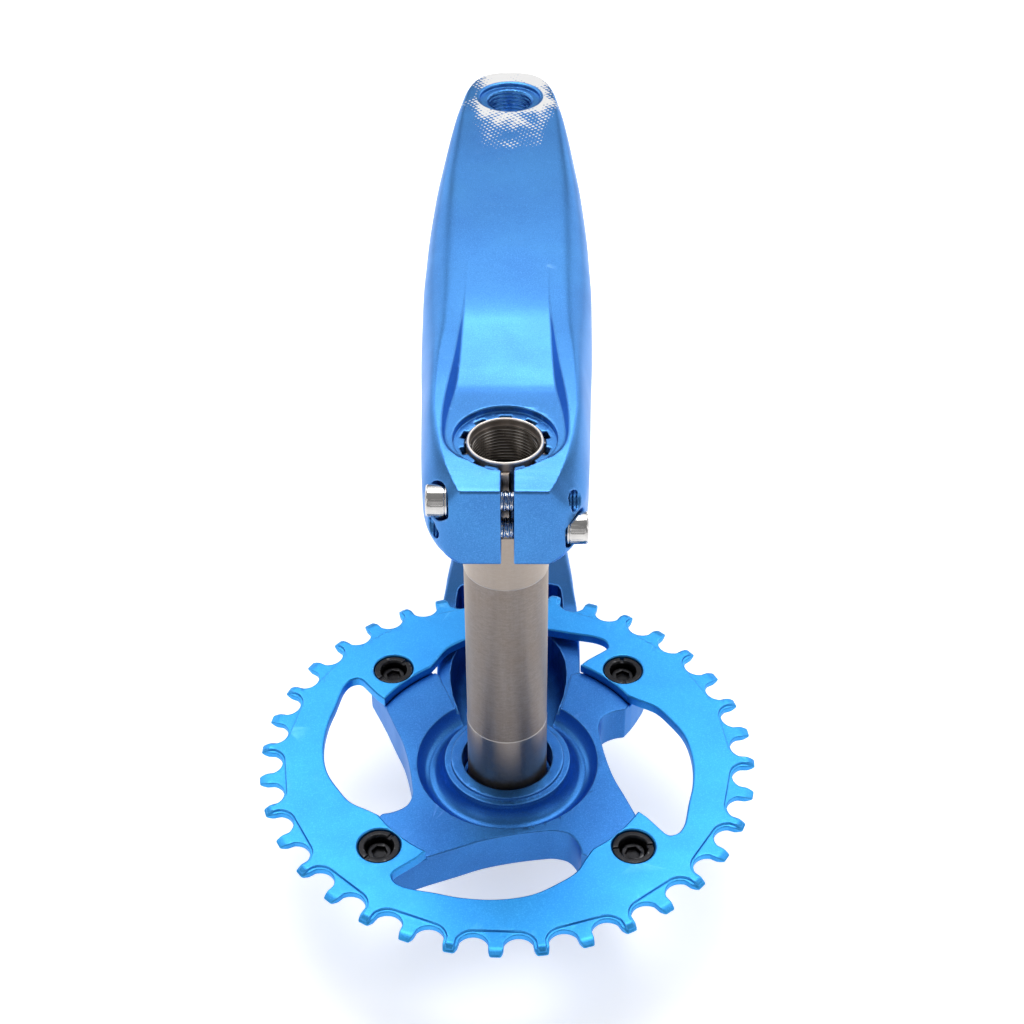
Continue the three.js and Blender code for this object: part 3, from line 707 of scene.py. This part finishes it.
# ----------------------------------------------------------------- materials
def node_tools(name):
    mat = bpy.data.materials.new(name)
    mat.use_nodes = True
    nt = mat.node_tree
    nt.nodes.clear()
    out = nt.nodes.new("ShaderNodeOutputMaterial")
    bsdf = nt.nodes.new("ShaderNodeBsdfPrincipled")
    nt.links.new(bsdf.outputs["BSDF"], out.inputs["Surface"])
    tc = nt.nodes.new("ShaderNodeTexCoord")
    mp = nt.nodes.new("ShaderNodeMapping")
    mp.inputs["Scale"].default_value = (1000, 1000, 1000)
    nt.links.new(tc.outputs["Object"], mp.inputs["Vector"])

    def noise(scale, detail=3.0, rough=0.55, vec=None):
        n = nt.nodes.new("ShaderNodeTexNoise")
        n.inputs["Scale"].default_value = scale
        n.inputs["Detail"].default_value = detail
        n.inputs["Roughness"].default_value = rough
        nt.links.new(vec or mp.outputs["Vector"], n.inputs["Vector"])
        return n.outputs["Fac"]

    def math_(op, a, b=None, c=None, clamp=False):
        n = nt.nodes.new("ShaderNodeMath")
        n.operation = op
        n.use_clamp = clamp
        for i, v in enumerate((a, b, c)):
            if v is None:
                continue
            if isinstance(v, (int, float)):
                n.inputs[i].default_value = v
            else:
                nt.links.new(v, n.inputs[i])
        return n.outputs[0]

    def remap(v, a, b, c, d, smooth=False):
        n = nt.nodes.new("ShaderNodeMapRange")
        n.interpolation_type = "SMOOTHSTEP" if smooth else "LINEAR"
        n.clamp = True
        nt.links.new(v, n.inputs["Value"])
        n.inputs["From Min"].default_value = a
        n.inputs["From Max"].default_value = b
        n.inputs["To Min"].default_value = c
        n.inputs["To Max"].default_value = d
        return n.outputs["Result"]

    def mix(fac, a, b):
        n = nt.nodes.new("ShaderNodeMix")
        n.data_type = "RGBA"
        if isinstance(fac, (int, float)):
            n.inputs[0].default_value = fac
        else:
            nt.links.new(fac, n.inputs[0])
        for i, v in ((6, a), (7, b)):
            if isinstance(v, tuple):
                n.inputs[i].default_value = (*v, 1)
            else:
                nt.links.new(v, n.inputs[i])
        return n.outputs[2]

    def pointiness():
        g = nt.nodes.new("ShaderNodeNewGeometry")
        return g.outputs["Pointiness"]

    def bump(height, strength, distance, prev=None):
        n = nt.nodes.new("ShaderNodeBump")
        n.inputs["Strength"].default_value = strength
        n.inputs["Distance"].default_value = distance
        nt.links.new(height, n.inputs["Height"])
        if prev is not None:
            nt.links.new(prev, n.inputs["Normal"])
        return n.outputs["Normal"]

    def xyz():
        s = nt.nodes.new("ShaderNodeSeparateXYZ")
        nt.links.new(mp.outputs["Vector"], s.inputs[0])
        return s.outputs[0], s.outputs[1], s.outputs[2]

    return mat, nt, bsdf, mp, noise, math_, remap, mix, pointiness, bump, xyz


def anodised(name, base, deep, rough, grain, metallic=1.0, speckle=None):
    mat, nt, bsdf, mp, noise, math_, remap, mix, pointiness, bump, xyz = node_tools(name)
    bsdf.inputs["Metallic"].default_value = metallic
    bsdf.inputs["Coat Weight"].default_value = 0.34
    bsdf.inputs["Specular Tint"].default_value = (0.55, 0.74, 1.0, 1)
    bsdf.inputs["Coat Roughness"].default_value = 0.36
    broad = remap(noise(0.045, 3), 0.35, 0.68, 0, 1)
    fine = noise(grain, 2, 0.6)
    colour = mix(math_("MULTIPLY", broad, 0.35), base, deep)
    colour = mix(remap(fine, 0.52, 0.72, 0, 0.42), colour, tuple(min(1, c * 1.5 + 0.04) for c in base))
    colour = mix(remap(fine, 0.28, 0.46, 0.38, 0), colour, deep)
    edge = pointiness()
    worn = math_("MULTIPLY", remap(edge, 0.52, 0.57, 0, 1), remap(noise(0.5, 4), 0.4, 0.65, 0.2, 0.6))
    colour = mix(worn, colour, tuple(min(1, c * 1.35 + 0.10) for c in base))
    # painted shade: concave creases and hollows, read from low pointiness, pulled towards the deep blue
    painted_crease_shade = remap(edge, 0.44, 0.49, 0.5, 0)
    colour = mix(painted_crease_shade, colour, deep)
    scuff = remap(noise(0.16, 6, 0.7), 0.60, 0.72, 0, 0.10)
    colour = mix(scuff, colour, tuple(min(1, c * 1.2 + 0.08) for c in base))
    ro = math_("ADD", remap(noise(0.09, 4), 0.3, 0.7, rough - 0.035, rough + 0.04), remap(fine, 0.3, 0.7, -0.03, 0.04))
    if speckle:
        mask = speckle(nt, mp, math_, remap, noise, xyz)
        colour = mix(mask, colour, (0.66, 0.65, 0.64))
        ro = math_("ADD", ro, math_("MULTIPLY", mask, 0.12))
        nt.links.new(math_("SUBTRACT", metallic, math_("MULTIPLY", mask, 0.9)), bsdf.inputs["Metallic"])
    nt.links.new(colour, bsdf.inputs["Base Color"])
    nt.links.new(ro, bsdf.inputs["Roughness"])
    n1 = bump(fine, 0.35, 0.00005)
    n2 = bump(noise(0.35, 3), 0.05, 0.0003, n1)
    nt.links.new(n2, bsdf.inputs["Normal"])
    return mat


def dot_fade(nt, mp, math_, remap, noise, xyz):
    """A plain fading grid of printed dots round the pedal hole on the outer face."""
    x, y, z = xyz()
    c = math.cos(math.radians(35))
    s = math.sin(math.radians(35))
    u = math_("ADD", math_("MULTIPLY", x, c), math_("MULTIPLY", y, s))
    v = math_("SUBTRACT", math_("MULTIPLY", y, c), math_("MULTIPLY", x, s))
    p = 1.45
    fu = math_("SUBTRACT", math_("FRACT", math_("DIVIDE", u, p)), 0.5)
    fv = math_("SUBTRACT", math_("FRACT", math_("DIVIDE", v, p)), 0.5)
    d = math_("SQRT", math_("ADD", math_("MULTIPLY", fu, fu), math_("MULTIPLY", fv, fv)))
    # coverage: dense near the hole, fading towards the spindle
    along = remap(y, 128, 166, 0.0, 0.78)
    side = remap(math_("ABSOLUTE", math_("ADD", x, -1.0)), 9, 14.5, 0, 0.55)
    cover = math_("SUBTRACT", math_("ADD", along, math_("MULTIPLY", math_("SUBTRACT", noise(0.11, 3), 0.5), 1.5)), side)
    radius = remap(cover, 0.12, 0.8, 0.0, 0.72)
    dots = remap(math_("SUBTRACT", radius, d), -0.03, 0.05, 0, 1)
    on = math_("MULTIPLY", remap(z, 84.2, 84.6, 0, 1), remap(y, 129, 135, 0, 1))
    rx = math_("MULTIPLY", x, x)
    ry = math_("MULTIPLY", math_("SUBTRACT", y, 170), math_("SUBTRACT", y, 170))
    far = remap(math_("SQRT", math_("ADD", rx, ry)), 10.9, 11.2, 0, 1)
    return math_("MULTIPLY", math_("MULTIPLY", dots, on), far)


def steel(name):
    mat, nt, bsdf, mp, noise, math_, remap, mix, pointiness, bump, xyz = node_tools(name)
    bsdf.inputs["Metallic"].default_value = 1.0
    x, y, z = xyz()
    az = math_("ABSOLUTE", z)
    ground = math_("MULTIPLY", remap(az, 29.6, 29.9, 0, 1), remap(az, 70.0, 70.4, 1, 0))
    # lathe marks: noise squeezed along the axis
    m2 = nt.nodes.new("ShaderNodeMapping")
    m2.inputs["Scale"].default_value = (0.5, 0.5, 1.6)
    nt.links.new(mp.outputs["Vector"], m2.inputs["Vector"])
    turnmarks = noise(1.0, 6, 0.7, m2.outputs["Vector"])
    m3 = nt.nodes.new("ShaderNodeMapping")
    m3.inputs["Scale"].default_value = (0.5, 0.5, 0.03)
    nt.links.new(mp.outputs["Vector"], m3.inputs["Vector"])
    grind_streak_and_painted_sheen = noise(1.0, 5, 0.65, m3.outputs["Vector"])
    blot = noise(0.08, 5, 0.6)
    colour = mix(remap(turnmarks, 0.3, 0.7, 0, 1), (0.245, 0.205, 0.18), (0.34, 0.295, 0.265))
    colour = mix(remap(blot, 0.45, 0.7, 0, 0.40), colour, (0.27, 0.205, 0.16))
    colour = mix(remap(noise(3.5, 2), 0.5, 0.75, 0, 0.25), colour, (0.46, 0.42, 0.40))
    # lighter axial streaks: partly grinding marks, partly painted reflection bands along the journals
    colour = mix(remap(grind_streak_and_painted_sheen, 0.5, 0.8, 0, 0.22), colour, (0.44, 0.40, 0.38))
    colour = mix(math_("MULTIPLY", ground, 0.5), colour, (0.42, 0.36, 0.31))
    radius = math_("SQRT", math_("ADD", math_("MULTIPLY", x, x), math_("MULTIPLY", y, y)))
    # painted shade: the bore and its thread inside radius 9.3 mm darkened almost to black
    colour = mix(remap(radius, 9.3, 9.46, 0.88, 0), colour, (0.05, 0.042, 0.036))
    # painted highlight: a pale band on the spindle's end rim
    painted_rim_highlight = math_("MULTIPLY", remap(z, 71.85, 72.1, 0, 1), remap(radius, 9.4, 9.6, 0, 1))
    colour = mix(painted_rim_highlight, colour, (0.80, 0.74, 0.68))
    line = math_("MULTIPLY", remap(az, 29.55, 29.65, 0, 1), remap(az, 29.85, 29.98, 1, 0))
    colour = mix(math_("MULTIPLY", line, 0.55), colour, (0.70, 0.66, 0.62))
    edge = remap(pointiness(), 0.52, 0.58, 0, 0.8)
    colour = mix(edge, colour, (0.78, 0.75, 0.72))
    nt.links.new(colour, bsdf.inputs["Base Color"])
    ro = mix(ground, (0.44, 0.44, 0.44), (0.30, 0.30, 0.30))
    ro = math_("ADD", ro, remap(turnmarks, 0.3, 0.7, -0.03, 0.05))
    nt.links.new(ro, bsdf.inputs["Roughness"])
    # turned round the axis, so highlights stretch along it
    tg = nt.nodes.new("ShaderNodeTangent")
    tg.direction_type = "RADIAL"
    tg.axis = "Z"
    nt.links.new(tg.outputs["Tangent"], bsdf.inputs["Tangent"])
    bsdf.inputs["Anisotropic Rotation"].default_value = 0.25
    bsdf.inputs["Anisotropic"].default_value = 0.75
    n1 = bump(turnmarks, 0.12, 0.00003)
    n2 = bump(noise(2.0, 3), 0.10, 0.00003, n1)
    nt.links.new(n2, bsdf.inputs["Normal"])
    return mat


def plated(name, base, deep, rough):
    mat, nt, bsdf, mp, noise, math_, remap, mix, pointiness, bump, xyz = node_tools(name)
    bsdf.inputs["Metallic"].default_value = 1.0
    fine = noise(2.5, 4, 0.6)
    broad = noise(0.35, 4, 0.6)
    colour = mix(remap(broad, 0.35, 0.7, 0, 0.6), base, deep)
    colour = mix(remap(pointiness(), 0.515, 0.57, 0, 0.7), colour, tuple(min(1, c * 1.4 + 0.10) for c in base))
    nt.links.new(colour, bsdf.inputs["Base Color"])
    nt.links.new(math_("ADD", remap(broad, 0.3, 0.7, rough - 0.05, rough + 0.07), remap(fine, 0.3, 0.7, -0.03, 0.03)), bsdf.inputs["Roughness"])
    nt.links.new(bump(fine, 0.12, 0.00003), bsdf.inputs["Normal"])
    return mat


blue_left = anodised("anodised_arm_printed", (0.045, 0.215, 0.54), (0.018, 0.10, 0.36), 0.34, 3.2, speckle=dot_fade)
blue_right = anodised("anodised_arm", (0.026, 0.175, 0.50), (0.010, 0.08, 0.31), 0.38, 3.0)
blue_ring = anodised("anodised_ring", (0.03, 0.335, 0.80), (0.02, 0.24, 0.68), 0.42, 2.6)
steel_mat = steel("turned_steel")
black_mat = plated("black_oxide", (0.028, 0.028, 0.03), (0.012, 0.012, 0.014), 0.30)
bright_mat = plated("bright_plating", (0.62, 0.61, 0.60), (0.46, 0.45, 0.45), 0.14)


# -------------------------------------------------------------------- pieces
def report(name, ob):
    print("piece", name, len(ob.data.polygons))


v, q = field_mesh(left_field, (-27, -25, 45), (27, 192, 90), H_ARM)
left = object_of("left_arm_forging", v, q, blue_left, "left_arm", ["left_crank_arm"], 150000)
report("left", left)
v, q = field_mesh(right_field, (-47, -47, -90), (47, 192, -46), H_ARM)
right = object_of("right_arm_forging", v, q, blue_right, "drive_side", ["right_crank_arm"], 160000)
report("right", right)
v, q = field_mesh(ring_field, (-77, -77, -51), (77, 77, -45.4), H_RING)
ring = object_of("narrow_wide_ring", v, q, blue_ring, "drive_side", ["chainring"], 180000)
report("ring", ring)
v, f = lofted(spindle_rings())
v = np.array(v)
spindle = object_of("hollow_spindle", v, f, steel_mat, "drive_side", ["spindle"], smooth_angle=50)
report("spindle", spindle)

nv, nq = field_mesh(nut_field, (-7, -7, -58.6), (7, 7, -46), H_SMALL)
bv, bq = field_mesh(bolt_field, (-7.4, -7.4, -61.6), (7.4, 7.4, -48.2), H_SMALL * 1.1)
SLOTS = {1: 92, 2: 47, 3: 52, 4: 8}
for i in range(1, 5):
    a = math.radians(45 + 90 * (i - 1))
    cx, cy = BOLT_C * math.cos(a), BOLT_C * math.sin(a)
    t = math.radians(SLOTS[i])
    R = np.array([[math.cos(t), -math.sin(t), 0], [math.sin(t), math.cos(t), 0], [0, 0, 1]])
    place = np.array([cx, cy, 0])
    object_of(f"sleeve_nut_{i}", nv @ R.T + place, nq, black_mat, "drive_side", [f"chainring_nut_{i}"], 16000)
    object_of(f"ring_bolt_{i}", bv @ R.T + place, bq, black_mat, "drive_side", [f"chainring_bolt_{i}"], 16000)
pv, pq = field_mesh(pinch_field, (-26.2, -5.4, -5.4), (7.2, 5.4, 5.4), H_SMALL)
for name, node, body, s, zc in (("upper_pinch_screw", "pinch_bolt_upper", "upper_pinch_bolt", -1, 64.7), ("lower_pinch_screw", "pinch_bolt_lower", "lower_pinch_bolt", 1, 55.7)):
    w = pv.copy().astype(float)
    w[:, 0] += 15.2
    if s < 0:
        w[:, 0] *= -1
        w[:, 1] *= -1
    w += np.array([0.7, -16.2, zc])
    object_of(name, w, pq, bright_mat, body, [node], 40000)

# --------------------------------------------------------- floor, light, lens
floor_mat, nt, bsdf, mp, noise, math_, remap, mix, pointiness, bump, xyz = node_tools("pale_floor")
bsdf.inputs["Roughness"].default_value = 0.9
bsdf.inputs["Specular IOR Level"].default_value = 0.1
bsdf.inputs["Emission Color"].default_value = (1, 1, 1, 1)
bsdf.inputs["Emission Strength"].default_value = 0.44
nt.links.new(mix(noise(0.004, 3), (0.90, 0.90, 0.90), (0.93, 0.93, 0.93)), bsdf.inputs["Base Color"])
fm = bpy.data.meshes.new("floor")
fz = -0.0905
fm.from_pydata([(-4, -4, fz), (4, -4, fz), (4, 4, fz), (-4, 4, fz)], [], [(0, 1, 2, 3)])
floor = bpy.data.objects.new("floor", fm)
fm.materials.append(floor_mat)
bpy.context.scene.collection.objects.link(floor)

world = bpy.data.worlds.new("studio")
bpy.context.scene.world = world
world.use_nodes = True
wn = world.node_tree
wn.nodes.clear()
wo = wn.nodes.new("ShaderNodeOutputWorld")
bg = wn.nodes.new("ShaderNodeBackground")
bg.inputs["Color"].default_value = (1, 1, 1, 1)
bg.inputs["Strength"].default_value = 0.31
wn.links.new(bg.outputs[0], wo.inputs[0])


def area(name, at, target, size, power, colour=(1, 1, 1)):
    d = bpy.data.lights.new(name, "AREA")
    d.shape = "RECTANGLE"
    d.size, d.size_y = size
    d.energy = power
    d.color = colour
    o = bpy.data.objects.new(name, d)
    bpy.context.scene.collection.objects.link(o)
    o.location = at
    o.visible_camera = False
    o.rotation_mode = "QUATERNION"
    o.rotation_quaternion = (Vector(target) - Vector(at)).to_track_quat("-Z", "Y")
    return o


area("top_soft", (0.0, 0.42, 1.1), (0, 0.05, 0), (0.9, 0.6), 9.0)
area("left_soft", (-0.8, -0.72, 0.55), (0, 0.05, 0), (0.4, 0.8), 1.35)
area("right_soft", (0.95, -0.5, 0.55), (0, 0.05, 0), (0.4, 0.8), 1.35)
area("rear_left_soft", (-0.8, 0.85, 0.85), (0, 0.05, 0), (0.5, 0.5), 1.9)
area("rear_right_soft", (0.8, 0.85, 0.85), (0, 0.05, 0), (0.5, 0.5), 1.9)
area("side_left_soft", (-1.0, 0.25, 0.75), (0, 0.06, 0), (0.7, 0.7), 1.1)
area("side_right_soft", (1.0, 0.25, 0.75), (0, 0.06, 0), (0.7, 0.7), 1.1)
area("low_left_soft", (-0.8, 1.0, 0.28), (0, 0.06, 0), (0.9, 0.45), 1.7)
area("low_right_soft", (0.8, 1.0, 0.28), (0, 0.06, 0), (0.9, 0.45), 1.7)
area("front_soft", (0.0, -0.9, 0.35), (0, 0.0, -0.02), (0.5, 0.5), 0.2)
area("back_soft", (0.0, 1.05, 0.95), (0, 0.06, 0), (0.9, 0.5), 1.6)

cd = bpy.data.cameras.new("camera")
cam = bpy.data.objects.new("camera", cd)
bpy.context.scene.collection.objects.link(cam)
bpy.context.scene.camera = cam
cd.sensor_width = 36.0
cd.lens = 64.82
cd.clip_start, cd.clip_end = 0.01, 20
a, e, ro = math.radians(-0.527), math.radians(38.917), math.radians(-0.223)
fwd = Vector((math.sin(a) * math.cos(e), math.cos(a) * math.cos(e), -math.sin(e)))
rt = Vector((math.cos(a), -math.sin(a), 0))
upv = rt.cross(fwd)
r2 = rt * math.cos(ro) + upv * math.sin(ro)
u2 = upv * math.cos(ro) - rt * math.sin(ro)
M = Matrix((
    (r2.x, u2.x, -fwd.x, 0.005325),
    (r2.y, u2.y, -fwd.y, -0.391105),
    (r2.z, u2.z, -fwd.z, 0.363651),
    (0, 0, 0, 1),
))
cam.matrix_world = M

bpy.context.scene.view_settings.view_transform = "Standard"
